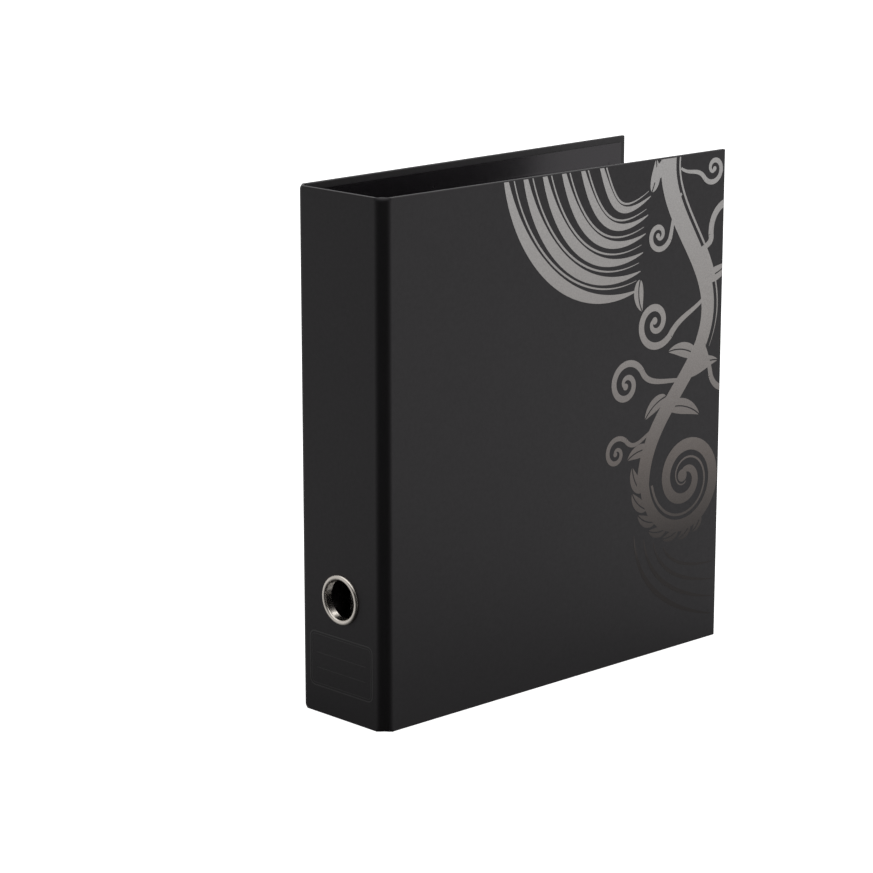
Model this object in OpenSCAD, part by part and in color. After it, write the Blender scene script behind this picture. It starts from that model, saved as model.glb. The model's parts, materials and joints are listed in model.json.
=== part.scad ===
// Three-ring binder with a wrapped-board case.
// Millimetres. The origin is the bottom centre of the spine's outer face.
// +Z is up, +Y runs from the spine to the fore edges, +X from the back cover to the front cover.

/* [Case] */
// Height of the case
case_h = 320; // [304:1:400]
// Width over the spine, from cover face to cover face when the case is closed
spine_w = 74.5; // [62:0.5:100]
// Depth of each cover, from its crease to its fore edge
cover_d = 280.5; // [200:0.5:360]
// Thickness of the greyboard
board_t = 2; // [1.4:0.1:3]
// Thickness of the covering paper
wrap_t = 0.35; // [0.2:0.05:0.6]
// Thickness of the inside lining paper
liner_t = 0.3; // [0.15:0.05:0.5]
// Width of the covering paper turned in over the board's edges
turn_in = 15; // [10:0.5:25]
// How far the lining paper stops short of the board's edges
liner_inset = 4; // [2:0.5:8]

/* [Hinge creases] */
// Outer radius of a crease when the cover is square to the spine
crease_r = 7; // [5:0.25:10]
// How far the front cover stands open as stored
front_rest_deg = 2.6; // [0:0.1:10]

/* [Finger ring] */
// Height of the finger hole's centre above the base
finger_z = 75; // [55:1:120]
// Inner radius of the finger ring
finger_r = 12.2; // [10:0.1:16]
// Thickness of the ring's barrel
finger_sheet = 0.45; // [0.3:0.05:0.8]
// Section radius of the half-round rim
rim_r = 1.6; // [0.8:0.1:1.8]
// Width of the flat washer outside the barrel
washer_band = 3.2; // [2:0.1:5]
// Thickness of the washer
washer_t = 0.5; // [0.3:0.1:1]
// Width of the flange clinched out of the barrel over the washer
clinch_w = 1.3; // [0.8:0.1:2]

/* [Ring mechanism] */
// Overall length of the mechanism
mech_len = 276; // [270:1:290]
// Width of the arched housing
mech_w = 30; // [26:0.5:36]
// Height of the housing's crown above the lining
mech_h = 9.5; // [8.5:0.1:12]
// Height above the lining at which the arch meets the upright sides
shoulder_h = 4.5; // [4:0.1:5]
// Thickness of the housing's sheet
sheet_t = 0.9; // [0.7:0.05:1.2]
// Width of the lips curled in under the hinge plates
lip_w = 1.6; // [1:0.1:2]
// Distance from the spine's outer face to the mechanism's centre line
mech_y = 51; // [46:0.5:60]
// Thickness of a hinge plate
plate_t = 1.2; // [1:0.05:1.5]
// Height of the hinge plates' outer edges above the lining
pivot_h = 3.2; // [3:0.1:4]
// Slope of the hinge plates with the rings shut
shut_deg = 5; // [3:0.5:6]
// Gap between the two hinge plates
plate_gap = 0.4; // [0.3:0.05:0.6]

/* [Rings] */
// Distance between ring centres
ring_pitch = 107.95; // [80:0.05:111]
// Radius of the ring wire
wire_r = 2; // [1.5:0.1:2.2]
// Distance of each ring foot from the mechanism's centre line
foot_y = 8; // [7.5:0.1:8.5]
// Radius of the bend at the top of the straight post
post_bend_r = 10; // [6:0.5:14]
// Radius of the bend where the arch leaves its foot
foot_bend_r = 6; // [5:0.5:8]
// Radius of the arch's belly near the housing
belly_r = 20; // [12:0.5:24]
// Space between a shut ring's outside and the front cover's lining
ring_head_gap = 10; // [6:0.5:20]
// Space between a shut ring's outside and the spine's lining
ring_back_gap = 10.6; // [9:0.1:16]
// Length of the tapered tip that enters the facing half
tip_len = 2.5; // [1.5:0.1:3]
// Wall left round the socket that the tip enters
socket_wall = 0.5; // [0.4:0.05:0.7]

/* [Triggers] */
// Distance of the trigger's pin from the end of the mechanism
pin_end = 5; // [4:0.25:6]
// Radius of the trigger's pin
pin_r = 1.2; // [1:0.05:1.4]
// Height of the trigger's pin above the lining
pin_h = 5; // [4.8:0.05:5.4]
// Width of a trigger
trigger_w = 13.4; // [10:0.2:13.8]
// Thickness of a trigger's sheet
trigger_t = 1.2; // [1:0.1:1.4]
// Length of the trigger's pad above its pin
trigger_len = 17; // [12:0.5:24]
// Lean of the upper part of the pad, away from the rings
trigger_lean = 16; // [0:1:25]
// Length of the tongue that lifts the hinge plates
tongue_len = 3.6; // [3:0.1:3.8]

/* [Rivets] */
// Distance of each mounting rivet from the end of the mechanism
rivet_end = 17; // [16.5:0.25:19]
// Radius of a rivet's post
rivet_r = 2.2; // [1.8:0.1:2.4]
// Radius of a rivet's domed head on the back cover
rivet_head_r = 5.5; // [4:0.1:7]
// Height of that dome
rivet_head_h = 1.2; // [0.8:0.1:2]
// Radius of the dished seat in the housing's crown
seat_r = 4.6; // [4:0.1:4.8]

/* [Hidden] */
$fn = 96;

// Clearances
paper_hole_gap = 0.1;  // between a fitting's barrel or post and the hole through the case
pin_gap = 0.05;        // running clearance of a trigger on its pin
edge_gap = 0.3;        // between a moving edge and the housing beside it
tenon_gap = 0.05;      // between a ring's tenon and its hole in the hinge plate
tip_gap = 0.2;         // between a ring's tapered tip and its socket
meet_gap = 0.1;        // between the facing ends of a shut ring
eps = 1;               // overrun of a cutting solid
thin = 0.01;           // a straight run of wire shorter than this is left out

// Small fixed details of the mechanism
trigger_room = 5;      // from a trigger's pin to the end of the crown
ear_lap = 2;           // how far an ear runs in under the crown
ear_floor = 1.4;       // from the lining to an ear's round nose
ear_drop = 1.6;        // from the crown down to the top of an ear
tab_room = 2.9;        // from a trigger's pin to the end of the hinge plates' tabs
slot_rise = 1.6;       // from the hinge plates' outer edges up to the foot of a slot
slot_gap = 0.5;        // between a ring and the ends of its slot
slot_lip_gap = 0.1;    // between a slot and the lip below it
seat_drop = 1.3;       // depth of a rivet's seat below the crown
seat_room = 0.6;       // between a rivet's clinched end and the wall of its seat
clinch_h = 0.7;        // height of that clinched end
rivet_room = 0.9;      // between a rivet and the hinge plates' cut-outs
tenon_step = 0.6;      // shoulder where a ring's foot narrows to its tenon
arch_sink = 2.5;       // from the crown down to where an arch leaves its foot
meet_room = 6;         // straight wire kept at the top of a ring for its joint
trigger_straight = 6;  // upright part of a trigger above its pin
trigger_boss = 1;      // metal rolled round a trigger's pin
trigger_floor = 0.2;   // from the lining to a trigger's lower edge
tongue_w = 3.2;        // width of a trigger's tongue
tongue_h = 0.8;        // thickness of that tongue
pin_head_h = 0.6;      // height of a pin's riveted head
pin_head_lap = 0.7;    // overhang of that head

// Case
core_t = board_t + 2 * wrap_t;      // board with its covering on both faces
leaf_t = core_t + liner_t;          // the same with its lining
spine_flat = spine_w / 2 - crease_r;
crease_t = wrap_t + liner_t;
crease_len = PI * crease_r / 2;
hinge_x = spine_flat + crease_len / 2;
hinge_y = crease_r - crease_len / 2;
case_mid = case_h / 2;

// A crease keeps its length, so its radius grows a little as its cover opens.
function crease_radius(a) = crease_r - crease_len / 2 + crease_len / 2 * (1 + sin(a)) / cos(a);

// Finger ring
barrel_r = finger_r + finger_sheet;
finger_hole_r = barrel_r + paper_hole_gap;
barrel_len = leaf_t + washer_t + finger_sheet;
clinch_r = barrel_r + clinch_w;

// Mechanism, in its own frame: X is the height above the lining of the back cover, Y is measured
// from the centre line away from the spine, Z is up.
back_in_x = -spine_w / 2 + leaf_t;
mech_z0 = case_mid - mech_len / 2;
arch_rise = mech_h - shoulder_h;
arch_r = (mech_w * mech_w / 4 + arch_rise * arch_rise) / (2 * arch_rise);
inner_w = mech_w / 2 - sheet_t;
plate_pivot = inner_w - edge_gap - plate_t / 2;
plate_reach = plate_pivot - plate_gap / 2;
crown_end = pin_end + trigger_room;   // the crown stops here, short of the trigger
ear_end = crown_end + ear_lap;
plate_end = ear_end + 2 * edge_gap;   // where the full width of the hinge plates starts
plate_tab_end = pin_end + tab_room;   // where their narrow middle tabs start
ear_y = trigger_w / 2 + edge_gap;
plate_tab_w = ear_y - 2 * edge_gap;
seat_h = mech_h - seat_drop;
tip_r = wire_r - socket_wall - tip_gap;
tip_slope = tip_r / 2 / tip_len;     // the tip narrows to half its root radius
tenon_r = wire_r - tenon_step;

// Ring outline, in the plane of the mechanism's X and Y
ring_top = spine_w - 2 * leaf_t - ring_head_gap - wire_r;
ring_reach = mech_y - leaf_t - ring_back_gap - wire_r;
post_turn_x = ring_top - post_bend_r;
foot_start = pivot_h - eps;           // inside the hinge plate, where the foot is cut off flush
arch_foot_x = mech_h - arch_sink;
belly_bend_r = min(belly_r, ring_reach - foot_y - foot_bend_r);
lower_run = ring_reach - foot_y - foot_bend_r - belly_bend_r;
belly_x = arch_foot_x + foot_bend_r + belly_bend_r;
crown_r = min(ring_top - belly_x, ring_reach + foot_y - post_bend_r - meet_room);
upright = ring_top - belly_x - crown_r;
top_from = -ring_reach + crown_r;
top_to = foot_y - post_bend_r;
meet_y = (top_from + top_to) / 2;
ring_zs = [case_mid - ring_pitch, case_mid, case_mid + ring_pitch];

// ---------------------------------------------------------------- places

module front_pose() {
    translate([hinge_x, hinge_y, 0])
        rotate([0, 0, -front_rest_deg])
            translate([-hinge_x, -hinge_y, 0])
                translate([spine_w / 2, crease_r, 0])
                    mirror([1, 0, 0])
                        children();
}

module back_pose() {
    translate([-spine_w / 2, crease_r, 0]) children();
}

module on_back_cover() {
    translate([back_in_x, mech_y, 0]) children();
}

// Repeats what is drawn at the lower end of the mechanism at both ends.
module both_ends() {
    children();
    translate([0, 0, case_h]) mirror([0, 0, 1]) children();
}

// Frame of one hinge plate, at its outer edge; side is 1 for the post's plate, -1 for the arch's.
module plate_frame(side) {
    translate([pivot_h, side * plate_pivot, 0])
        rotate([0, 0, -side * shut_deg])
            children();
}

// ---------------------------------------------------------------- case

// A leaf lies with its outer face on X = 0, its crease end on Y = 0 and its base on Z = 0.
module leaf_board(depth) {
    translate([wrap_t, 0, wrap_t])
        cube([board_t, depth - wrap_t, case_h - 2 * wrap_t]);
}

module leaf_wrap(depth) {
    difference() {
        cube([core_t, depth, case_h]);
        translate([wrap_t, -eps, wrap_t])
            cube([board_t, depth + eps - wrap_t, case_h - 2 * wrap_t]);
        translate([wrap_t, -eps, turn_in])
            cube([core_t, depth + eps - turn_in, case_h - 2 * turn_in]);
    }
}

module leaf_liner(depth) {
    translate([core_t, 0, liner_inset])
        cube([liner_t, depth - liner_inset, case_h - 2 * liner_inset]);
    translate([core_t - wrap_t, 0, turn_in])
        cube([wrap_t + liner_t, depth - turn_in, case_h - 2 * turn_in]);
}

// The spine's pieces lie with their outer face on Y = 0.
module spine_block(x, y0, t, z0) {
    translate([-x, y0, z0]) cube([2 * x, t, case_h - 2 * z0]);
}

module finger_bore() {
    translate([0, -eps, finger_z])
        rotate([-90, 0, 0])
            cylinder(h = leaf_t + 2 * eps, r = finger_hole_r);
}

module spine_board() {
    color("tan") difference() {
        spine_block(spine_flat, wrap_t, board_t, wrap_t);
        finger_bore();
    }
}

module spine_wrap() {
    color([0.09, 0.09, 0.1]) difference() {
        spine_block(spine_flat, 0, core_t, 0);
        spine_block(spine_flat + eps, wrap_t, board_t, wrap_t);
        spine_block(spine_flat + eps, wrap_t, core_t, turn_in);
        finger_bore();
    }
}

module spine_liner() {
    color([0.07, 0.07, 0.08]) difference() {
        union() {
            spine_block(spine_flat, core_t, liner_t, liner_inset);
            spine_block(spine_flat, core_t - wrap_t, wrap_t + liner_t, turn_in);
        }
        finger_bore();
    }
}

module front_board() {
    color("tan") front_pose() leaf_board(cover_d);
}

module front_wrap() {
    color([0.1, 0.1, 0.11]) front_pose() leaf_wrap(cover_d);
}

module front_liner() {
    color([0.07, 0.07, 0.08]) front_pose() leaf_liner(cover_d);
}

module back_board() {
    color("tan") difference() {
        back_pose() leaf_board(cover_d);
        rivet_holes();
    }
}

module back_wrap() {
    color([0.09, 0.09, 0.1]) difference() {
        back_pose() leaf_wrap(cover_d);
        rivet_holes();
    }
}

module back_liner() {
    color([0.07, 0.07, 0.08]) difference() {
        back_pose() leaf_liner(cover_d);
        rivet_holes();
    }
}

// The flexible strip of covering and lining between the spine's board and a cover's board.
module crease(open_deg) {
    r = crease_radius(open_deg);
    translate([spine_flat, r, 0])
        rotate([0, 0, -90])
            rotate_extrude(angle = 90 - open_deg)
                translate([r - crease_t, 0])
                    square([crease_t, case_h]);
}

module front_crease() {
    color([0.05, 0.05, 0.05]) crease(front_rest_deg);
}

module back_crease() {
    color([0.05, 0.05, 0.05]) mirror([1, 0, 0]) crease(0);
}

// ---------------------------------------------------------------- finger ring

module finger_ring() {
    color("silver") translate([0, 0, finger_z]) rotate([-90, 0, 0]) rotate_extrude() {
        translate([finger_r, 0]) square([finger_sheet, barrel_len]);
        translate([finger_r, leaf_t + washer_t]) square([clinch_r - finger_r, finger_sheet]);
        intersection() {
            translate([finger_r + rim_r, 0]) circle(r = rim_r);
            translate([finger_r, -rim_r]) square([2 * rim_r, rim_r]);
        }
    }
}

module finger_ring_washer() {
    color("silver") translate([0, leaf_t, finger_z]) rotate([-90, 0, 0]) difference() {
        cylinder(h = washer_t, r = barrel_r + washer_band);
        translate([0, 0, -eps]) cylinder(h = washer_t + 2 * eps, r = finger_hole_r);
    }
}

// ---------------------------------------------------------------- mechanism

// Section of the arch, r being its radius, half its half width and x0 its lowest level.
module arch_section(r, half, x0) {
    intersection() {
        translate([mech_h - arch_r, 0]) circle(r = r);
        translate([x0, -half]) square([mech_h + eps, 2 * half]);
    }
}

module housing_section() {
    difference() {
        arch_section(arch_r, mech_w / 2, 0);
        difference() {
            arch_section(arch_r - sheet_t, inner_w, -eps);
            for (side = [-1, 1])
                translate([-eps, side > 0 ? inner_w - lip_w : -inner_w])
                    square([eps + sheet_t, lip_w]);
        }
    }
}

// The ear that holds one end of a trigger's pin.
module ear() {
    round_r = pin_h - ear_floor;
    difference() {
        union() {
            translate([pin_h, 0, mech_z0 + pin_end])
                rotate([-90, 0, 0])
                    cylinder(h = sheet_t, r = round_r);
            translate([0, 0, mech_z0 + pin_end - round_r])
                cube([pin_h, sheet_t, ear_end - pin_end + round_r]);
            translate([0, 0, mech_z0 + pin_end])
                cube([mech_h - ear_drop, sheet_t, ear_end - pin_end]);
        }
        translate([pin_h, -eps, mech_z0 + pin_end])
            rotate([-90, 0, 0])
                cylinder(h = sheet_t + 2 * eps, r = pin_r + pin_gap);
    }
}

module ring_housing() {
    slot_from = foot_y - wire_r - 2 * edge_gap;
    slot_to = inner_w - lip_w - slot_lip_gap;
    slot_half = wire_r + slot_gap;
    color("silver") on_back_cover() difference() {
        union() {
            difference() {
                translate([0, 0, mech_z0 + crown_end])
                    linear_extrude(height = mech_len - 2 * crown_end)
                        housing_section();
                both_ends() rivet_axis() cylinder(h = mech_h + eps, r = seat_r);
            }
            both_ends() {
                rivet_axis() seat();
                for (side = [-1, 1])
                    translate([0, side > 0 ? ear_y : -ear_y - sheet_t, 0])
                        ear();
            }
        }
        both_ends() rivet_axis() cylinder(h = mech_h + eps, r = rivet_r + paper_hole_gap);
        for (z = ring_zs, side = [-1, 1])
            translate([pivot_h + slot_rise, side > 0 ? slot_from : -slot_to, z - slot_half])
                cube([mech_h, slot_to - slot_from, 2 * slot_half]);
    }
}

// Places a Z-wise solid on a mounting rivet's axis, rising from the lining.
module rivet_axis() {
    translate([0, 0, mech_z0 + rivet_end]) rotate([0, 90, 0]) children();
}

// Dished seat pressed into the crown, with its floor under the rivet's clinched end.
module seat() {
    difference() {
        intersection() {
            translate([0, 0, seat_h - sheet_t])
                cylinder(h = mech_h - seat_h + sheet_t, r = seat_r + sheet_t);
            translate([0, 0, mech_h - arch_r])
                rotate([0, -90, 0])
                    translate([0, 0, -mech_w])
                        cylinder(h = 2 * mech_w, r = arch_r);
        }
        translate([0, 0, seat_h]) cylinder(h = mech_h, r = seat_r);
    }
}

module rivet_holes() {
    both_ends() on_back_cover() rivet_axis()
        translate([0, 0, -leaf_t - eps])
            cylinder(h = leaf_t + 2 * eps, r = rivet_r + paper_hole_gap);
}

module mounting_rivets() {
    dome_r = (rivet_head_r * rivet_head_r + rivet_head_h * rivet_head_h) / (2 * rivet_head_h);
    color("silver") both_ends() on_back_cover() rivet_axis() {
        translate([0, 0, -leaf_t]) cylinder(h = leaf_t + seat_h, r = rivet_r);
        translate([0, 0, seat_h]) cylinder(h = clinch_h, r = seat_r - seat_room);
        intersection() {
            translate([0, 0, -leaf_t - rivet_head_h + dome_r]) sphere(r = dome_r);
            translate([0, 0, -leaf_t - rivet_head_h - eps])
                cylinder(h = rivet_head_h + eps, r = rivet_head_r);
        }
    }
}

// A hinge plate in its own frame, without the holes for the ring feet.
module plate_body(side) {
    z0 = mech_z0 + plate_end;
    length = mech_len - 2 * plate_end;
    tab_z0 = mech_z0 + plate_tab_end;
    tab_length = mech_len - 2 * plate_tab_end;
    difference() {
        union() {
            translate([0, 0, z0]) cylinder(h = length, r = plate_t / 2);
            translate([-plate_t / 2, side > 0 ? -plate_reach : 0, z0])
                cube([plate_t, plate_reach, length]);
            translate([-plate_t / 2, side > 0 ? -plate_reach : plate_reach - plate_tab_w, tab_z0])
                cube([plate_t, plate_tab_w, tab_length]);
        }
        both_ends()
            translate([-plate_t, -side * plate_pivot, mech_z0 + rivet_end])
                rotate([0, 90, 0])
                    cylinder(h = 2 * plate_t, r = rivet_r + rivet_room);
    }
}

// The tenon below a ring's foot, along the plate's own upright; r is its radius.
module foot_tenon(side, r, overrun) {
    along = (plate_pivot - foot_y - plate_t / 2 * sin(shut_deg)) / cos(shut_deg);
    translate([-plate_t / 2 - overrun, -side * along, 0])
        rotate([0, 90, 0])
            cylinder(h = plate_t + 2 * overrun, r = r);
}

module hinge_plate(side) {
    color("gainsboro") on_back_cover() plate_frame(side) difference() {
        plate_body(side);
        for (z = ring_zs)
            translate([0, 0, z]) foot_tenon(side, tenon_r + tenon_gap, eps);
    }
}

module post_hinge_plate() {
    hinge_plate(1);
}

module arch_hinge_plate() {
    hinge_plate(-1);
}

// Draws wire from the origin along +X through a list of steps. A step is [length, 0] for a
// straight run, or [radius, turn] for a bend, whose turn is positive towards +Y.
module wire(steps, i = 0) {
    if (i < len(steps)) {
        size = steps[i][0];
        turn = steps[i][1];
        left = sign(turn);
        if (turn == 0) {
            rotate([0, 90, 0]) cylinder(h = size, r = wire_r);
            translate([size, 0, 0]) wire(steps, i + 1);
        } else {
            translate([0, left * size, 0]) {
                rotate([0, 0, turn > 0 ? -90 : 90 + turn])
                    rotate_extrude(angle = abs(turn))
                        translate([size, 0])
                            circle(r = wire_r);
                rotate([0, 0, turn]) translate([0, -left * size, 0]) wire(steps, i + 1);
            }
        }
    }
}

// Cuts the wire's foot off flush with the upper face of its hinge plate.
module trim_foot(side) {
    difference() {
        children();
        plate_frame(side)
            translate([plate_t / 2 - 4 * wire_r, -mech_w / 2, -2 * wire_r])
                cube([4 * wire_r, mech_w, 4 * wire_r]);
    }
    plate_frame(side) foot_tenon(side, tenon_r, 0);
}

module ring_post(i) {
    steps = [[post_turn_x - foot_start, 0], [post_bend_r, -90], [top_to - meet_y - meet_gap / 2, 0]];
    color("silver") on_back_cover() translate([0, 0, ring_zs[i]]) {
        trim_foot(1) translate([foot_start, foot_y, 0]) wire(steps);
        translate([ring_top, meet_y + meet_gap / 2, 0])
            rotate([90, 0, 0])
                cylinder(h = tip_len, r1 = tip_r, r2 = tip_r - tip_slope * tip_len);
    }
}

module ring_arch(i) {
    socket_h = eps + tip_len + tip_gap;
    socket_r = tip_r + tip_gap + tip_slope * eps;
    foot = [[arch_foot_x - foot_start, 0], [foot_bend_r, -90]];
    lower = lower_run > thin ? [[lower_run, 0]] : [];
    belly = [[belly_bend_r, 90]];
    middle = upright > thin ? [[upright, 0]] : [];
    crown = [[crown_r, 90], [meet_y - meet_gap / 2 - top_from, 0]];
    color("silver") on_back_cover() translate([0, 0, ring_zs[i]]) difference() {
        trim_foot(-1) translate([foot_start, -foot_y, 0]) wire(concat(foot, lower, belly, middle, crown));
        translate([ring_top, meet_y + eps, 0])
            rotate([90, 0, 0])
                cylinder(h = socket_h, r1 = socket_r, r2 = socket_r - tip_slope * socket_h);
    }
}

// ---------------------------------------------------------------- triggers

// The lower trigger, with its pin at the origin of Z and X.
module trigger() {
    half_t = trigger_t / 2;
    foot = pin_h - trigger_floor;
    lean = trigger_len - trigger_straight;
    top_x = trigger_straight + lean * cos(trigger_lean);
    top_z = -lean * sin(trigger_lean);
    translate([pin_h, 0, mech_z0 + pin_end]) difference() {
        union() {
            rotate([90, 0, 0]) cylinder(h = trigger_w, r = pin_r + trigger_boss, center = true);
            intersection() {
                rotate([90, 0, 0])
                    linear_extrude(height = trigger_w, center = true)
                        polygon([
                            [-foot, -half_t], [-foot, half_t], [trigger_straight, half_t],
                            [top_x, top_z + half_t], [top_x, top_z - half_t],
                            [trigger_straight, -half_t]
                        ]);
                translate([0, 0, -2 * trigger_len]) linear_extrude(height = 4 * trigger_len) {
                    translate([-foot, -trigger_w / 2])
                        square([foot + top_x - trigger_w / 2, trigger_w]);
                    translate([top_x - trigger_w / 2, 0]) circle(r = trigger_w / 2);
                }
            }
            translate([-foot, -tongue_w / 2, -half_t])
                cube([tongue_h, tongue_w, half_t + tongue_len]);
        }
        rotate([90, 0, 0]) cylinder(h = trigger_w + eps, r = pin_r + pin_gap, center = true);
    }
}

module lower_trigger() {
    color("silver") on_back_cover() trigger();
}

module upper_trigger() {
    color("silver") on_back_cover() translate([0, 0, case_h]) mirror([0, 0, 1]) trigger();
}

module trigger_pins() {
    span = 2 * (ear_y + sheet_t);
    color("silver") on_back_cover() both_ends()
        translate([pin_h, 0, mech_z0 + pin_end]) rotate([90, 0, 0]) {
            cylinder(h = span + 2 * pin_head_h, r = pin_r, center = true);
            for (side = [-1, 1])
                translate([0, 0, side * (span + pin_head_h) / 2])
                    cylinder(h = pin_head_h, r = pin_r + pin_head_lap, center = true);
        }
}

spine_board();
front_board();
back_board();
spine_wrap();
front_wrap();
back_wrap();
spine_liner();
front_liner();
back_liner();
front_crease();
back_crease();
finger_ring();
finger_ring_washer();
ring_housing();
post_hinge_plate();
arch_hinge_plate();
ring_post(0);  // ring_post_lower
ring_post(1);  // ring_post_middle
ring_post(2);  // ring_post_upper
ring_arch(0);  // ring_arch_lower
ring_arch(1);  // ring_arch_middle
ring_arch(2);  // ring_arch_upper
lower_trigger();
upper_trigger();
trigger_pins();
mounting_rivets();
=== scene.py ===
"""Ring binder: wrapped-board case, finger ring, D-ring mechanism, foil ornament and label print."""

import cmath
import json
import math

import bmesh
import bpy
from mathutils import Matrix, Vector, geometry


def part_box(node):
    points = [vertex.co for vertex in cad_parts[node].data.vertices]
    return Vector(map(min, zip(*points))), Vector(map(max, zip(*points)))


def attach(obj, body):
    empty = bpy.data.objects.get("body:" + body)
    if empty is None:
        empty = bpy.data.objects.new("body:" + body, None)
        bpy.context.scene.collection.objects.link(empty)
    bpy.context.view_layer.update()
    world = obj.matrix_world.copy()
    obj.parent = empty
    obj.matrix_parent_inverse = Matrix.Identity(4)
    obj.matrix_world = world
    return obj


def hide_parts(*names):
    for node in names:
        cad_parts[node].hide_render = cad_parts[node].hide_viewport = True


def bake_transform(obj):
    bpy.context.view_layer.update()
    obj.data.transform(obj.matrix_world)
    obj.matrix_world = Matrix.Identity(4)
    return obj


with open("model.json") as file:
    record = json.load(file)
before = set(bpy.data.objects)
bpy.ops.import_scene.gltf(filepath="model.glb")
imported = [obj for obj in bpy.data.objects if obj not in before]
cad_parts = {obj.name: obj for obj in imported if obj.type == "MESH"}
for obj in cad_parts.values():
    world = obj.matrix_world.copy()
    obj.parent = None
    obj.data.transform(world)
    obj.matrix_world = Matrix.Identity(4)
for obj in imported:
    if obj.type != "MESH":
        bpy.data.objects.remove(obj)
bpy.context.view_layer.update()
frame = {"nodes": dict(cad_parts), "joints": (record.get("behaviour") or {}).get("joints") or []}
NODES = frame["nodes"]
JOINTS = {joint["name"]: joint for joint in frame["joints"]}
MM = 0.001

# ---------------------------------------------------------------- sizes, from the frame

spine_hi = Vector(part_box("spine_wrap")[1])
back_lo, back_hi = (Vector(corner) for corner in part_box("back_wrap"))
board_lo = Vector(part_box("back_board")[0])
lining_lo, lining_hi = (Vector(corner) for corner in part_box("back_liner"))
ring_lo, ring_hi = (Vector(corner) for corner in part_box("finger_ring"))

CASE_H = spine_hi.z
CORE_T = spine_hi.y
WRAP_T = board_lo.x - back_lo.x
LEAF_T = lining_hi.x - back_lo.x
LINER_T = LEAF_T - CORE_T
LINER_INSET = lining_lo.z
CREASE_R = back_lo.y
COVER_D = back_hi.y - back_lo.y
HALF_W = -back_lo.x
SPINE_FLAT = spine_hi.x
FRONT_HINGE = Vector(JOINTS["front_hinge"]["pos_m"])
REST_OPEN = math.radians(-JOINTS["front_hinge"]["range_deg"][0])
FINGER_Z = (ring_lo.z + ring_hi.z) / 2
RIM_COVER = 2.7 * MM
FINGER_HOLE_R = (ring_hi.x - ring_lo.x) / 2 - RIM_COVER
TURN_IN = 15 * MM
EDGE_R = 0.7 * MM
CREASE_FLAT = 0.75 * MM
PRINT_T = 0.04 * MM

BACK_LEAF = Matrix.Translation((-HALF_W, CREASE_R, 0))
FRONT_LEAF = (
    Matrix.Translation((FRONT_HINGE.x, FRONT_HINGE.y, 0))
    @ Matrix.Rotation(-REST_OPEN, 4, "Z")
    @ Matrix.Translation((HALF_W - FRONT_HINGE.x, CREASE_R - FRONT_HINGE.y, 0))
    @ Matrix.Scale(-1, 4, (1, 0, 0))
)

# ---------------------------------------------------------------- camera

camera = bpy.data.objects.new("camera", bpy.data.cameras.new("camera"))
bpy.context.scene.collection.objects.link(camera)
camera.location = (1.2301, -1.1448, 0.5930)
aim = Vector((0.0377, 0.0429, 0.1743)) - camera.location
camera.rotation_euler = aim.to_track_quat("-Z", "Y").to_euler()
camera.data.sensor_width = 36
camera.data.lens = 121.8
bpy.context.scene.camera = camera

# ---------------------------------------------------------------- materials


class Shader:
    """A node material with one Principled shader, and short ways to add nodes to it."""

    def __init__(self, name, base, roughness, metallic=0.0):
        self.material = bpy.data.materials.new(name)
        self.material.use_nodes = True
        self.tree = self.material.node_tree
        self.bsdf = self.tree.nodes["Principled BSDF"]
        self.set("Base Color", (*base, 1))
        self.set("Roughness", roughness)
        self.set("Metallic", metallic)
        self.coords = self.tree.nodes.new("ShaderNodeTexCoord").outputs["Object"]

    def set(self, socket, value):
        self.bsdf.inputs[socket].default_value = value

    def link(self, output, socket):
        self.tree.links.new(output, self.bsdf.inputs[socket])

    def add(self, kind, links=(), **values):
        node = self.tree.nodes.new(kind)
        for key, value in values.items():
            if key in node.inputs:
                node.inputs[key].default_value = value
            else:
                setattr(node, key, value)
        for key, output in dict(links).items():
            self.tree.links.new(output, node.inputs[key])
        return node

    def mapped(self, scale):
        node = self.add("ShaderNodeMapping", {"Vector": self.coords})
        node.inputs["Scale"].default_value = scale
        return node.outputs["Vector"]

    def noise(self, scale, detail=3.0, roughness=0.5, vector=None):
        node = self.add("ShaderNodeTexNoise", {"Vector": vector or self.coords})
        node.inputs["Scale"].default_value = scale
        node.inputs["Detail"].default_value = detail
        node.inputs["Roughness"].default_value = roughness
        return node.outputs["Fac"]

    def ramp(self, factor, *stops):
        node = self.add("ShaderNodeValToRGB", {"Fac": factor})
        while len(node.color_ramp.elements) < len(stops):
            node.color_ramp.elements.new(0.5)
        for element, (place, colour) in zip(node.color_ramp.elements, stops):
            element.position = place
            element.color = (*colour, 1)
        return node.outputs["Color"]

    def span(self, factor, low, high):
        node = self.add("ShaderNodeMapRange", {"Value": factor})
        node.inputs["To Min"].default_value = low
        node.inputs["To Max"].default_value = high
        return node.outputs["Result"]

    def bump(self, *layers):
        """Each layer is (height output, strength, distance in metres)."""
        normal = None
        for height, strength, distance in layers:
            node = self.add("ShaderNodeBump", {"Height": height})
            node.inputs["Strength"].default_value = strength
            node.inputs["Distance"].default_value = distance
            if normal is not None:
                self.tree.links.new(normal, node.inputs["Normal"])
            normal = node.outputs["Normal"]
        self.link(normal, "Normal")


def cover_paper():
    s = Shader("cover_paper", (0.005, 0.0048, 0.005), 0.56)
    s.set("Specular IOR Level", 0.5)
    s.set("Specular Tint", (1, 0.955, 1, 1))
    mottle = s.noise(55, 4, 0.6)
    s.link(s.ramp(mottle, (0.3, (0.0044, 0.0042, 0.0045)), (0.75, (0.0058, 0.0054, 0.0057))), "Base Color")
    s.link(s.span(s.noise(420, 3), 0.5, 0.63), "Roughness")
    s.bump((s.noise(2600, 2), 0.18, 0.00006), (s.noise(620, 2), 0.12, 0.0001), (s.noise(9, 1), 0.12, 0.002))
    return s.material


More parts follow.
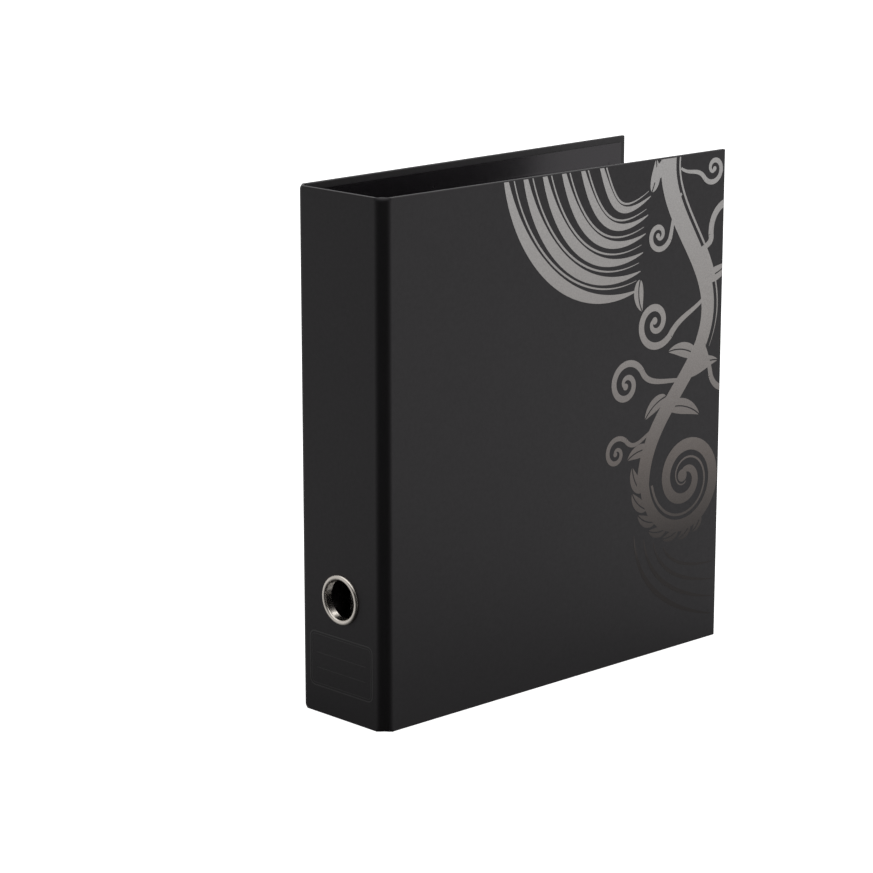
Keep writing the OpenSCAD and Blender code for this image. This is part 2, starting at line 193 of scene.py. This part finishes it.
def lining_paper():
    s = Shader("lining_paper", (0.009, 0.008, 0.0094), 0.25)
    s.set("Specular IOR Level", 0.45)
    s.set("Specular Tint", (1, 0.94, 1, 1))
    fibre = s.noise(700, 3, 0.6, s.mapped((1, 1, 0.35)))
    s.link(s.ramp(fibre, (0.3, (0.0078, 0.0068, 0.0082)), (0.8, (0.0102, 0.009, 0.0108))), "Base Color")
    s.link(s.span(s.noise(300, 2), 0.22, 0.29), "Roughness")
    s.bump((fibre, 0.15, 0.00008), (s.noise(12, 1), 0.2, 0.0015))
    return s.material


def greyboard():
    s = Shader("greyboard", (0.36, 0.33, 0.29), 0.9)
    s.set("Specular IOR Level", 0.2)
    fibre = s.noise(900, 5, 0.7)
    s.link(s.ramp(fibre, (0.3, (0.28, 0.26, 0.23)), (0.7, (0.42, 0.39, 0.34))), "Base Color")
    s.bump((fibre, 0.3, 0.0001),)
    return s.material


def plated(name, tint, roughness, brushed=False):
    """Bright nickel: colour and gloss vary a little, with fine polishing marks along one way if brushed."""
    s = Shader(name, tint, roughness, metallic=1.0)
    cloud = s.noise(140, 3, 0.55)
    dull = tuple(0.88 * c for c in tint)
    s.link(s.ramp(cloud, (0.35, dull), (0.7, tint)), "Base Color")
    grain = s.noise(1800, 2, 0.5, s.mapped((1, 1, 0.06)) if brushed else None)
    s.link(s.span(grain, roughness * 0.75, roughness * 1.35), "Roughness")
    s.bump((grain, 0.05 if brushed else 0.03, 0.00003), (s.noise(90, 1), 0.05, 0.0003))
    return s.material


def foil():
    """Matt silver foil, its colour painted darker and warmer towards the foot of the cover as painted shade.
    """
    s = Shader("foil", (0.3, 0.29, 0.28), 0.42, metallic=0.85)
    height = s.add("ShaderNodeSeparateXYZ", {"Vector": s.coords}).outputs["Z"]
    share = s.add("ShaderNodeMapRange", {"Value": height})
    share.inputs["From Min"].default_value = 0.2 * CASE_H
    share.inputs["From Max"].default_value = CASE_H
    # painted shade: the foil's base colour runs from dark at the foot of the cover to bright at its head
    painted_shade_tone = s.ramp(
        share.outputs["Result"],
        (0.0, (0.035, 0.031, 0.03)),
        (0.25, (0.17, 0.15, 0.14)),
        (0.6, (0.37, 0.35, 0.339)),
        (1.0, (0.46, 0.448, 0.442)),
    )
    speckle = s.ramp(s.noise(1500, 3, 0.6), (0.35, (0.8, 0.8, 0.8)), (0.65, (1, 1, 1)))
    mixed = s.add("ShaderNodeMix", data_type="RGBA", blend_type="MULTIPLY")
    mixed.inputs["Factor"].default_value = 1
    s.tree.links.new(painted_shade_tone, mixed.inputs["A"])
    s.tree.links.new(speckle, mixed.inputs["B"])
    s.link(mixed.outputs["Result"], "Base Color")
    s.link(s.span(s.noise(900, 3), 0.36, 0.5), "Roughness")
    s.bump((s.noise(2600, 2), 0.2, 0.00006),)
    return s.material


def gloss_print():
    s = Shader("gloss_print", (0.03, 0.0285, 0.029), 0.42)
    s.set("Specular IOR Level", 0.5)
    s.link(s.span(s.noise(800, 2), 0.38, 0.48), "Roughness")
    s.bump((s.noise(2600, 2), 0.12, 0.00005),)
    return s.material


PAPER = cover_paper()
LINING = lining_paper()
BOARD = greyboard()
NICKEL = plated("bright_nickel", (0.84, 0.785, 0.72), 0.24)
WIRE = plated("nickel_wire", (0.74, 0.71, 0.68), 0.16)
SHEET = plated("nickel_sheet", (0.7, 0.68, 0.66), 0.22, brushed=True)
ZINC = plated("zinc_plate", (0.55, 0.56, 0.58), 0.36, brushed=True)
FOIL = foil()
PRINT = gloss_print()

# ---------------------------------------------------------------- mesh helpers


def make(name, verts, faces, material, body=None, smooth_deg=35):
    """A mesh object in the row frame that rides on a body."""
    mesh = bpy.data.meshes.new(name)
    mesh.from_pydata([tuple(v) for v in verts], [], faces)
    bm = bmesh.new()
    bm.from_mesh(mesh)
    bmesh.ops.recalc_face_normals(bm, faces=bm.faces)
    bm.to_mesh(mesh)
    bm.free()
    obj = bpy.data.objects.new(name, mesh)
    bpy.context.scene.collection.objects.link(obj)
    mesh.materials.append(material)
    if smooth_deg:
        mesh.shade_smooth()
        mesh.set_sharp_from_angle(angle=math.radians(smooth_deg))
    if body:
        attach(obj, body)
    return obj


def from_bmesh(name, bm, matrix, material, body=None, smooth_deg=35):
    """The same from a bmesh in leaf coordinates."""
    bmesh.ops.transform(bm, matrix=matrix, verts=bm.verts)
    bmesh.ops.recalc_face_normals(bm, faces=bm.faces)
    verts = [v.co.copy() for v in bm.verts]
    faces = [[v.index for v in f.verts] for f in bm.faces]
    bm.free()
    return make(name, verts, faces, material, body, smooth_deg)


def modifier(obj, kind, **values):
    m = obj.modifiers.new(kind.lower(), kind)
    for key, value in values.items():
        setattr(m, key, value)
    return m


def cut_at(bm, point, normal):
    bmesh.ops.bisect_plane(bm, geom=bm.verts[:] + bm.edges[:] + bm.faces[:], plane_co=point, plane_no=normal)


def box_bmesh(low, high):
    bm = bmesh.new()
    bmesh.ops.create_cube(bm, size=1)
    for v in bm.verts:
        v.co = Vector(low[i] if v.co[i] < 0 else high[i] for i in range(3))
    return bm


# ---------------------------------------------------------------- case


def leaf_skin(name, matrix, body, node):
    """Covering of one cover: outer face, rounded edges and turned-in borders, open at the crease."""
    bm = box_bmesh((0, 0, 0), (CORE_T, COVER_D, CASE_H))
    rounded = [e for e in bm.edges if max(v.co.y for v in e.verts) > 0]
    bmesh.ops.bevel(bm, geom=rounded, offset=EDGE_R, segments=5, profile=0.5, affect="EDGES")
    tiny = 1e-6
    open_end = [f for f in bm.faces if all(v.co.y < tiny for v in f.verts)]
    bmesh.ops.delete(bm, geom=open_end, context="FACES")
    for point, normal in (
        ((0, COVER_D - TURN_IN, 0), (0, 1, 0)),
        ((0, 0, TURN_IN), (0, 0, 1)),
        ((0, 0, CASE_H - TURN_IN), (0, 0, 1)),
    ):
        cut_at(bm, point, normal)
    window = [
        f
        for f in bm.faces
        if all(v.co.x > CORE_T - tiny for v in f.verts)
        and f.calc_center_median().y < COVER_D - TURN_IN
        and TURN_IN < f.calc_center_median().z < CASE_H - TURN_IN
    ]
    bmesh.ops.delete(bm, geom=window, context="FACES")
    skin = from_bmesh(name, bm, matrix, PAPER, body)
    modifier(skin, "SOLIDIFY", thickness=WRAP_T, offset=-1)
    modifier(skin, "WEIGHTED_NORMAL", mode="FACE_AREA", weight=100, keep_sharp=True)
    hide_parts(node)
    return skin


def leaf_lining(name, matrix, body, node, depth):
    """Lining sheet of one cover: it steps down softly where the turned-in covering ends below it."""
    step = 0.14 * MM
    soft = 1.4 * MM
    rise = [i / 6 for i in range(7)]
    z_low, z_high = LINER_INSET, CASE_H - LINER_INSET
    y_high = depth - LINER_INSET
    ys = [0.0] + [depth - TURN_IN - soft * (1 - r) for r in rise] + [y_high]
    zs = [z_low] + [TURN_IN + soft * r for r in rise]
    zs += [CASE_H - TURN_IN - soft * (1 - r) for r in rise] + [z_high]

    def level(y, z):
        inner = min(depth - TURN_IN - y, z - TURN_IN, CASE_H - TURN_IN - z) / soft
        t = max(0.0, min(1.0, inner))
        return LEAF_T - step * t * t * (3 - 2 * t)

    return height_sheet(name, matrix, ys, zs, level, CORE_T, body, node)


def height_sheet(name, matrix, ys, zs, level, base, body, node):
    """A closed sheet whose upper side follows level(y, z) over a grid, above a flat base."""
    verts = [Vector((level(y, z), y, z)) for y in ys for z in zs]
    count = len(verts)
    verts += [Vector((base, y, z)) for y in ys for z in zs]
    n, m = len(ys), len(zs)
    faces = []
    for i in range(n - 1):
        for j in range(m - 1):
            a = i * m + j
            quad = (a, a + 1, a + m + 1, a + m)
            faces.append(quad)
            faces.append(tuple(count + k for k in reversed(quad)))
    rim = [i * m for i in range(n)] + [(n - 1) * m + j for j in range(1, m)]
    rim += [i * m + m - 1 for i in range(n - 2, -1, -1)] + [j for j in range(m - 2, 0, -1)]
    for a, b in zip(rim, rim[1:] + rim[:1]):
        faces.append((a, b, b + count, a + count))
    sheet = make(name, [matrix @ v for v in verts], faces, LINING, body, 30)
    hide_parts(node)
    return sheet


def crease_strip(name, side, opening, node):
    """Flexible strip between the spine's board and a cover's board, soft and rounded at head and foot."""
    length = math.pi * CREASE_R / 2
    radius = CREASE_R - length / 2 + length / 2 * (1 + math.sin(opening)) / math.cos(opening)
    sweep = math.pi / 2 - opening
    thick = WRAP_T + LINER_T
    end_r = 2.2 * MM
    across = 18
    near = [end_r * (1 - math.cos(math.pi / 2 * i / 7)) for i in range(8)]
    zs = near + [CASE_H * k / 12 for k in range(1, 12)] + [CASE_H - z for z in reversed(near)]

    def point(share, depth, z):
        fall = max(0.0, end_r - min(z, CASE_H - z))
        pull = (end_r - math.sqrt(end_r**2 - fall**2)) * math.sin(math.pi * share) ** 0.6
        pull += CREASE_FLAT * math.sin(math.pi * share) ** 2
        angle = sweep * share
        r = radius - depth - pull
        return Vector((side * (SPINE_FLAT + r * math.sin(angle)), radius - r * math.cos(angle), z))

    ring = [(i / across, 0.0) for i in range(across + 1)]
    ring += [(i / across, thick) for i in range(across, -1, -1)]
    verts = [point(share, depth, z) for z in zs for share, depth in ring]
    k = len(ring)
    faces = []
    for row in range(len(zs) - 1):
        for i in range(k):
            a = row * k + i
            b = row * k + (i + 1) % k
            faces.append((a, b, b + k, a + k))
    last = (len(zs) - 1) * k
    for base in (0, last):
        for i in range(across):
            faces.append((base + i, base + i + 1, base + k - 2 - i, base + k - 1 - i))
    strip = make(name, verts, faces, PAPER, None)
    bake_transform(strip)
    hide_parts(node)
    return strip


def disc_hole_strip(name, half, depth0, depth1, z0, z1, hole_r, rim, material):
    """A flat panel on the spine with a round hole at the finger ring: two faces and all edges.
    rim is the rounding at top and bottom of the outer face."""
    segments = 72
    turns = [2 * math.pi * i / segments for i in range(segments)]
    circle = [(hole_r * math.sin(turn), FINGER_Z + hole_r * math.cos(turn)) for turn in turns]
    outline = []
    corner = [(-half, z0), (half, z0), (half, z1), (-half, z1)]
    for (xa, za), (xb, zb) in zip(corner, corner[1:] + corner[:1]):
        steps = 8
        outline += [(xa + (xb - xa) * i / steps, za + (zb - za) * i / steps) for i in range(steps)]
    points = [Vector(p) for p in outline + circle]
    n = len(outline)
    edges = [(i, (i + 1) % n) for i in range(n)]
    edges += [(n + i, n + (i + 1) % segments) for i in range(segments)]
    flat = geometry.delaunay_2d_cdt(points, edges, [], 1, 1e-7)
    hole = Vector((0, FINGER_Z))
    kept = []
    for face in flat[2]:
        centre = sum((flat[0][i] for i in face), Vector((0, 0))) / len(face)
        if (centre - hole).length > hole_r * math.cos(math.pi / segments):
            kept.append(face)
    bm = bmesh.new()
    low = [bm.verts.new((p.x, depth0, p.y)) for p in flat[0]]
    for face in kept:
        bm.faces.new([low[i] for i in face])
    extruded = bmesh.ops.extrude_face_region(bm, geom=bm.faces[:])
    moved = [g for g in extruded["geom"] if isinstance(g, bmesh.types.BMVert)]
    bmesh.ops.translate(bm, verts=moved, vec=(0, depth1 - depth0, 0))
    if rim:
        tiny = 1e-7
        ends = [
            e
            for e in bm.edges
            if all(abs(v.co.y - depth0) < tiny for v in e.verts)
            and any(all(abs(v.co.z - z) < tiny for v in e.verts) for z in (z0, z1))
        ]
        bmesh.ops.bevel(bm, geom=ends, offset=rim, segments=4, profile=0.5, affect="EDGES")
    panel = from_bmesh(name, bm, Matrix.Identity(4), material, "spine")
    modifier(panel, "WEIGHTED_NORMAL", mode="FACE_AREA", weight=100, keep_sharp=True)
    return panel


def spine_skin():
    """Covering of the spine: outer face with the finger hole, rounded head and foot, turned-in borders."""
    outer = disc_hole_strip(
        "spine_covering", SPINE_FLAT, 0, WRAP_T, 0, CASE_H, FINGER_HOLE_R, 0.3 * MM, PAPER
    )
    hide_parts("spine_wrap")
    for name, z0, z1 in (
        ("spine_foot_turn_in", 0, TURN_IN), ("spine_head_turn_in", CASE_H - TURN_IN, CASE_H),
    ):
        edge, far, into = (z0, z1, 1) if z0 == 0 else (z1, z0, -1)
        profile = [
            (WRAP_T, edge), (CORE_T - EDGE_R, edge)
        ] + [
            (
                CORE_T - EDGE_R + EDGE_R * math.sin(math.pi / 2 * i / 5),
                edge + into * EDGE_R * (1 - math.cos(math.pi / 2 * i / 5)),
            )
            for i in range(1, 6)
        ]
        inner = edge + into * WRAP_T
        profile += [(CORE_T, far), (CORE_T - WRAP_T, far), (CORE_T - WRAP_T, inner), (WRAP_T, inner)]
        verts = [Vector((x, y, z)) for x in (-SPINE_FLAT, SPINE_FLAT) for y, z in profile]
        k = len(profile)
        faces = [(i, (i + 1) % k, k + (i + 1) % k, k + i) for i in range(k)]
        faces += [tuple(range(k)), tuple(range(2 * k - 1, k - 1, -1))]
        make(name, verts, faces, PAPER, "spine")


def spine_lining():
    sheet = disc_hole_strip(
        "spine_lining", SPINE_FLAT, CORE_T - WRAP_T, LEAF_T, LINER_INSET, CASE_H - LINER_INSET,
        FINGER_HOLE_R, 0, LINING,
    )
    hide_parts("spine_liner")


def board_end(name, place, body):
    """Lining folded round the end of a board where it meets a crease. place(depth, out, z) is a point."""
    low = WRAP_T + LINER_T + 0.02 * MM
    middle, half = (low + LEAF_T) / 2, (LEAF_T - low) / 2
    swell_out = 0.3 * MM
    steps = 10
    profile = [(low, 0), (LEAF_T, 0)]
    for i in range(1, steps):
        turn = math.pi * i / steps
        profile.append((middle + half * math.cos(turn), swell_out * math.sin(turn) ** 0.6))
    k = len(profile)
    ends = (0.5 * MM, CASE_H - 0.5 * MM)
    verts = [place(depth, out, z) for z in ends for depth, out in profile]
    faces = [(i, (i + 1) % k, k + (i + 1) % k, k + i) for i in range(k)]
    faces += [tuple(range(k)), tuple(range(2 * k - 1, k - 1, -1))]
    make(name, verts, faces, LINING, body)


leaf_skin("front_covering", FRONT_LEAF, "front_cover", "front_wrap")
leaf_skin("back_covering", BACK_LEAF, "back_cover", "back_wrap")
leaf_lining("front_lining", FRONT_LEAF, "front_cover", "front_liner", COVER_D)
leaf_lining("back_lining", BACK_LEAF, "back_cover", "back_liner", COVER_D)
crease_strip("front_crease_strip", 1, REST_OPEN, "front_crease")
crease_strip("back_crease_strip", -1, 0.0, "back_crease")
spine_skin()
spine_lining()
board_end("front_board_end", lambda d, out, z: FRONT_LEAF @ Vector((d, -out, z)), "front_cover")
board_end("back_board_end", lambda d, out, z: BACK_LEAF @ Vector((d, -out, z)), "back_cover")
board_end("spine_front_end", lambda d, out, z: Vector((SPINE_FLAT + out, d, z)), "spine")
board_end("spine_back_end", lambda d, out, z: Vector((-SPINE_FLAT - out, d, z)), "spine")

# ---------------------------------------------------------------- CAD nodes that stay

for names, material in (
    (("spine_board", "front_board", "back_board"), BOARD),
    (("finger_ring_washer", "finger_ring", "mounting_rivets"), NICKEL),
    (("ring_housing", "lower_trigger", "upper_trigger"), SHEET),
    (("post_hinge_plate", "arch_hinge_plate"), ZINC),
    (("ring_post_lower", "ring_post_middle", "ring_post_upper"), WIRE),
    (("ring_arch_lower", "ring_arch_middle", "ring_arch_upper", "trigger_pins"), WIRE),
):
    for name in names:
        mesh = NODES[name].data
        mesh.materials.clear()
        mesh.materials.append(material)
for name, width in (
    ("ring_housing", 0.18), ("lower_trigger", 0.22), ("upper_trigger", 0.22),
    ("post_hinge_plate", 0.15), ("arch_hinge_plate", 0.15), ("finger_ring_washer", 0.1),
    ("mounting_rivets", 0.1), ("trigger_pins", 0.15),
):
    modifier(
        NODES[name], "BEVEL", width=width * MM, segments=2, limit_method="ANGLE",
        angle_limit=math.radians(40), use_clamp_overlap=True, harden_normals=True,
    )

# ---------------------------------------------------------------- print


def flat_print(name, shapes, to_frame, limits, thick, material, body):
    """Thin raised print: the union of flat shapes, each a list of points u + v i in mm, cut to limits."""
    points, faces = [], []
    for shape in shapes:
        faces.append(list(range(len(points), len(points) + len(shape))))
        points += [Vector((p.real, p.imag)) * MM for p in shape]
    flat = geometry.delaunay_2d_cdt(points, [], faces, 1, 1e-8)
    bm = bmesh.new()
    verts = [bm.verts.new((0, p.x, p.y)) for p in flat[0]]
    for face, came_from in zip(flat[2], flat[5]):
        if came_from:
            bm.faces.new([verts[i] for i in face])
    (u0, u1), (v0, v1) = limits
    for point, normal in (
        ((0, u0, 0), (0, -1, 0)), ((0, u1, 0), (0, 1, 0)), ((0, 0, v0), (0, 0, -1)), ((0, 0, v1), (0, 0, 1)),
    ):
        geom = bm.verts[:] + bm.edges[:] + bm.faces[:]
        bmesh.ops.bisect_plane(bm, geom=geom, plane_co=point, plane_no=normal, clear_outer=True)
    bmesh.ops.dissolve_limit(bm, angle_limit=0.001, verts=bm.verts, edges=bm.edges)
    lifted = bmesh.ops.extrude_face_region(bm, geom=bm.faces[:])
    moved = [g for g in lifted["geom"] if isinstance(g, bmesh.types.BMVert)]
    bmesh.ops.translate(bm, verts=moved, vec=(-thick, 0, 0))
    return from_bmesh(name, bm, to_frame, material, body, 0)


def stroke(curve, width, count=40):
    """Quads of a stroke along curve(t), t from 0 to 1, with width(t) across. Points are complex: u + v i."""
    mids = [curve(i / count) for i in range(count + 1)]
    quads = []
    rails = []
    for i, mid in enumerate(mids):
        along = mids[min(i + 1, count)] - mids[max(i - 1, 0)]
        side = 1j * along / abs(along) * max(width(i / count), 0.05) / 2
        rails.append((mid + side, mid - side))
    for (a, b), (c, d) in zip(rails, rails[1:]):
        quads.append([a, c, d, b])
    return quads


def bezier(p0, p1, p2, p3):
    return lambda t: (1 - t) ** 3 * p0 + 3 * (1 - t) ** 2 * t * p1 + 3 * (1 - t) * t * t * p2 + t**3 * p3


def beside(curve, gap):
    """The same curve, moved sideways by gap(t)."""

    def at(t):
        h = 0.004
        along = curve(min(t + h, 1)) - curve(max(t - h, 0))
        return curve(t) + 1j * along / abs(along) * gap(t)

    return at


def volute(centre, radius, turns, start_deg, way, close=0.08):
    """Spiral from radius in to close x radius. way is 1 for anticlockwise."""

    def at(t):
        r = radius * (1 - (1 - close) * t**0.85)
        return centre + cmath.rect(r, math.radians(start_deg) + way * 2 * math.pi * turns * t)

    return at


def swell(most, start=0.0, end=0.0, power=0.75):
    return lambda t: start + (end - start) * t + most * math.sin(math.pi * t) ** power


def dot(centre, radius, count=20):
    return [[centre + cmath.rect(radius, 2 * math.pi * i / count) for i in range(count)]]


def leaf(base, direction_deg, length, width, bend):
    """A blade with a slit along its middle, bent to one side."""
    heading = cmath.rect(1, math.radians(direction_deg))
    tip = base + length * heading * cmath.rect(1, bend / 2)
    bent = heading * cmath.rect(1, bend)
    rib = bezier(base, base + 0.35 * length * heading, tip - 0.3 * length * bent, tip)
    shapes = []
    for side in (1, -1):

        def breadth(t):
            return width * math.sin(math.pi * t**0.75) ** 0.85

        shapes += stroke(beside(rib, lambda t: side * (0.4 + breadth(t) / 4)), lambda t: breadth(t) / 2, 22)
    return shapes


def scroll(centre, radius, turns, start_deg, way, width):
    """A spiral that thins as it runs in, and ends in a round eye."""
    path = volute(centre, radius, turns, start_deg, way)
    shapes = stroke(path, lambda t: width * (1 - 0.6 * t + 0.25 * math.sin(math.pi * t)), 72)
    return shapes + dot(path(1), 0.52 * width)


def tendril(start, heading_deg, reach, centre, radius, turns, start_deg, way, width):
    """A branch from start that runs smoothly into a scroll."""
    join = centre + cmath.rect(radius, math.radians(start_deg))
    tangent = way * 1j * cmath.rect(1, math.radians(start_deg))
    path = bezier(start, start + cmath.rect(reach, math.radians(heading_deg)), join - reach * tangent, join)
    return stroke(path, lambda t: width * (0.55 + 0.45 * t), 24) + scroll(
        centre, radius, turns, start_deg, way, width
    )


def ornament():
    """Flowing waves, scrolls and leaves over the upper outer part of the front cover, in mm."""
    shapes = []
    # waves that run in from the head of the cover
    for i in range(6):
        start = 88 + 15.5 * i
        path = bezier(
            complex(start, 330), complex(start + 8 + i, 274 + 5 * i),
            complex(146 + 7 * i, 226 + 11 * i), complex(203 + 2 * i, 240 + 11.5 * i),
        )
        shapes += stroke(path, swell(7.4 - 0.7 * i, 1.6, 0.5))
        shapes += stroke(beside(path, lambda t: 6.2 - 0.5 * i), swell(1.0, 0.5, 0.3))
    # main stem, swinging down beside the fore edge into a large scroll
    upper = bezier(complex(234, 332), complex(214, 284), complex(290, 250), complex(263, 198))
    lower = bezier(complex(263, 198), complex(248, 169), complex(212, 150), complex(212, 112))
    shapes += stroke(upper, lambda t: 10 - 2.5 * t)
    shapes += stroke(lower, lambda t: 7.5 + 0.5 * t)
    shapes += stroke(beside(upper, lambda t: 8.4 - 1.6 * t), swell(1.1, 0.8, 0.3))
    shapes += stroke(beside(upper, lambda t: 1.6 * t - 8.4), swell(1.1, 0.8, 0.3))
    shapes += stroke(beside(lower, lambda t: -6.6), swell(1.1, 0.3, 0.8))
    shapes += scroll(complex(249, 112), 37, 1.9, 180, 1, 8)
    shapes += stroke(volute(complex(249, 112), 30.4, 1.3, 180, 1), lambda t: 1.9 - 1.1 * t, 60)
    # smaller scrolls that branch off it
    for branch in (
        (complex(241, 296), 215, 9, complex(221, 272), 10.5, 1.4, -20, -1, 3.4),
        (complex(262, 226), 215, 12, complex(219, 217), 17, 1.6, -35, -1, 4.6),
        (complex(246, 176), 165, 13, complex(194, 181), 15.5, 1.6, 25, 1, 4.2),
        (complex(222, 150), 200, 12, complex(186, 138), 11, 1.4, 40, 1, 3.2),
        (complex(254, 252), 75, 9, complex(287, 272), 19, 1.4, 195, -1, 4.6),
        (complex(262, 200), -60, 8, complex(286, 178), 15, 1.3, 190, 1, 4.0),
        (complex(240, 312), -35, 10, complex(270, 309), 10, 1.3, 215, 1, 3.2),
    ):
        shapes += tendril(*branch)
    # leaves along the stem and round the large scroll
    for place, angle, length, width, bend in (
        (complex(234, 318), 190, 24, 8.5, 0.8), (complex(262, 240), -5, 25, 8.5, 0.8),
        (complex(258, 190), 140, 27, 9, 0.9), (complex(250, 178), 40, 28, 9, -0.9),
        (complex(232, 160), 10, 30, 9.5, -0.9), (complex(216, 136), 165, 20, 8, 0.9),
        (complex(205, 246), 250, 20, 7.5, 0.9), (complex(214, 300), 60, 20, 7, 0.7),
        (complex(230, 168), 190, 22, 8, 0.8),
    ):
        shapes += leaf(place, angle, length, width, bend)
    rim = volute(complex(249, 112), 40, 1.9, 180, 1)
    for k in range(7):
        base = rim(0.005 + 0.028 * k)
        turn = math.degrees(cmath.phase(base - complex(249, 112)))
        shapes += leaf(base, turn - 40, 19 - 1.2 * k, 7.5 - 0.4 * k, -0.9)
    # tails that run out below the large scroll
    for i in range(4):
        path = bezier(
            complex(203 + 9 * i, 82 - 4 * i), complex(206 + 10 * i, 44 + 4 * i),
            complex(240 + 5 * i, 24 + 9 * i), complex(279, 15 + 12 * i),
        )
        shapes += stroke(path, swell(3.2 - 0.4 * i, 0.3, 0.1))
    return shapes


def label_lines():
    """Plain rounded frame with two lines to write on, in mm."""
    shapes = []
    middle, half_w, half_h, round_r = complex(0, 34), 27, 17, 4
    for inset, width in ((0, 0.7), (1.6, 0.3)):
        path = []
        for k in range(36):
            turn = cmath.rect(1, math.radians(90 * (k // 9) + 90 * (k % 9) / 8))
            side = complex(1 if (k // 9) in (0, 3) else -1, 1 if k < 18 else -1)
            corner = complex(side.real * (half_w - round_r), side.imag * (half_h - round_r))
            path.append((middle + corner, turn))
        rails = [
            (c + (round_r - inset + width / 2) * d, c + (round_r - inset - width / 2) * d) for c, d in path
        ]
        for (a, b), (c, d) in zip(rails, rails[1:] + rails[:1]):
            shapes.append([a, c, d, b])
    for height in (38, 28.5):
        line = [complex(-21, -0.15), complex(21, -0.15), complex(21, 0.15), complex(-21, 0.15)]
        shapes.append([p + complex(0, height) for p in line])
    return shapes


edge = EDGE_R + 0.05 * MM
flat_print(
    "front_ornament", ornament(), FRONT_LEAF, ((0, COVER_D - edge), (edge, CASE_H - edge)),
    PRINT_T, FOIL, "front_cover",
)
SPINE_FACE = Matrix(((0, 1, 0, 0), (1, 0, 0, 0), (0, 0, 1, 0), (0, 0, 0, 1)))
flat_print(
    "spine_label_frame", label_lines(), SPINE_FACE, ((-SPINE_FLAT, SPINE_FLAT), (edge, CASE_H - edge)),
    PRINT_T, PRINT, "spine",
)

# ---------------------------------------------------------------- light and floor


def direction(azimuth, elevation):
    a, e = math.radians(azimuth), math.radians(elevation)
    return Vector((math.sin(a) * math.cos(e), -math.cos(a) * math.cos(e), math.sin(e)))


def floor():
    """White floor that the camera sees; it neither lights the binder nor shows in its gloss."""
    half = 6.0
    mesh = bpy.data.meshes.new("floor")
    corners = [(-half, -half, 0), (half, -half, 0), (half, half, 0), (-half, half, 0)]
    mesh.from_pydata(corners, [], [(0, 1, 2, 3)])
    obj = bpy.data.objects.new("floor", mesh)
    bpy.context.scene.collection.objects.link(obj)
    s = Shader("floor", (0.5, 0.5, 0.5), 0.9)
    s.set("Specular IOR Level", 0.0)
    s.set("Emission Color", (1, 1, 1, 1))
    s.set("Emission Strength", 0.93)
    mesh.materials.append(s.material)
    obj.visible_diffuse = obj.visible_glossy = obj.visible_shadow = False


def studio(ambient, boxes):
    """Soft boxes painted on the sky: (azimuth, elevation, inner, outer, strength), angles in degrees.

    Each is full within its inner angle and gone past its outer one. The camera sees plain white.
    """
    world = bpy.data.worlds.new("studio")
    world.use_nodes = True
    bpy.context.scene.world = world
    tree = world.node_tree
    back = tree.nodes["Background"]
    back.inputs["Color"].default_value = (1, 1, 1, 1)
    ray = tree.nodes.new("ShaderNodeTexCoord").outputs["Generated"]
    total = None
    for azimuth, elevation, inner, outer, strength in boxes:
        dot = tree.nodes.new("ShaderNodeVectorMath")
        dot.operation = "DOT_PRODUCT"
        dot.inputs[1].default_value = direction(azimuth, elevation)
        tree.links.new(ray, dot.inputs[0])
        ramp = tree.nodes.new("ShaderNodeMapRange")
        ramp.interpolation_type = "SMOOTHSTEP"
        ramp.inputs["From Min"].default_value = math.cos(math.radians(outer))
        ramp.inputs["From Max"].default_value = math.cos(math.radians(inner))
        ramp.inputs["To Min"].default_value = 0
        ramp.inputs["To Max"].default_value = strength
        tree.links.new(dot.outputs["Value"], ramp.inputs["Value"])
        add = tree.nodes.new("ShaderNodeMath")
        add.operation = "ADD"
        add.inputs[1].default_value = ambient
        if total is not None:
            tree.links.new(total, add.inputs[1])
        tree.links.new(ramp.outputs["Result"], add.inputs[0])
        total = add.outputs["Value"]
    seen = tree.nodes.new("ShaderNodeLightPath").outputs["Is Camera Ray"]
    most = tree.nodes.new("ShaderNodeMath")
    most.operation = "MAXIMUM"
    tree.links.new(total, most.inputs[0])
    tree.links.new(seen, most.inputs[1])
    tree.links.new(most.outputs["Value"], back.inputs["Strength"])


def painted_contact_shade(radius, centre, most):
    """Painted shade: a soft dark patch on the floor, seen only in glossy reflections, that dims the foot of
    the faces.
    """
    height = 0.5 * MM
    sides = 48  # round enough for a soft edge
    verts = [Vector((*centre, height))]
    for i in range(sides):
        turn = 2 * math.pi * i / sides
        verts.append(verts[0] + radius * Vector((math.cos(turn), math.sin(turn), 0)))
    mesh = bpy.data.meshes.new("painted_contact_shade")
    mesh.from_pydata([tuple(v) for v in verts], [], [(0, 1 + i, 1 + (i + 1) % sides) for i in range(sides)])
    obj = bpy.data.objects.new("painted_contact_shade", mesh)
    bpy.context.scene.collection.objects.link(obj)
    s = Shader("painted_contact_shade", (0, 0, 0), 1.0)
    s.set("Specular IOR Level", 0.0)
    mapping = s.add("ShaderNodeMapping", {"Vector": s.coords})
    mapping.inputs["Location"].default_value = (-centre[0] / radius, -centre[1] / radius, 0)
    mapping.inputs["Scale"].default_value = (1 / radius, 1 / radius, 1 / radius)
    away = s.add("ShaderNodeVectorMath", {0: mapping.outputs["Vector"]}, operation="LENGTH")
    fade = s.add("ShaderNodeMapRange", {"Value": away.outputs["Value"]}, interpolation_type="SMOOTHSTEP")
    fade.inputs["From Min"].default_value = 0.3
    fade.inputs["From Max"].default_value = 1.0
    fade.inputs["To Min"].default_value = most
    fade.inputs["To Max"].default_value = 0
    s.link(fade.outputs["Result"], "Alpha")
    mesh.materials.append(s.material)
    obj.visible_camera = obj.visible_diffuse = obj.visible_shadow = False


floor()
# painted shade in the reflections at the foot of the binder
painted_contact_shade(0.36, (0.0, 0.12), 0.58)
studio(
    0.03,
    (
        (154, 6, 6, 80, 1.03),  # behind and beside the front cover, the side its face reflects
        (-60, -6, 12, 80, 0.56),  # beside the spine
        (0, 90, 25, 60, 1.1),  # overhead
        (-135, 14, 8, 48, 0.8),  # behind, low: lights the head edges
    ),
)
bpy.context.scene.view_settings.view_transform = "Standard"
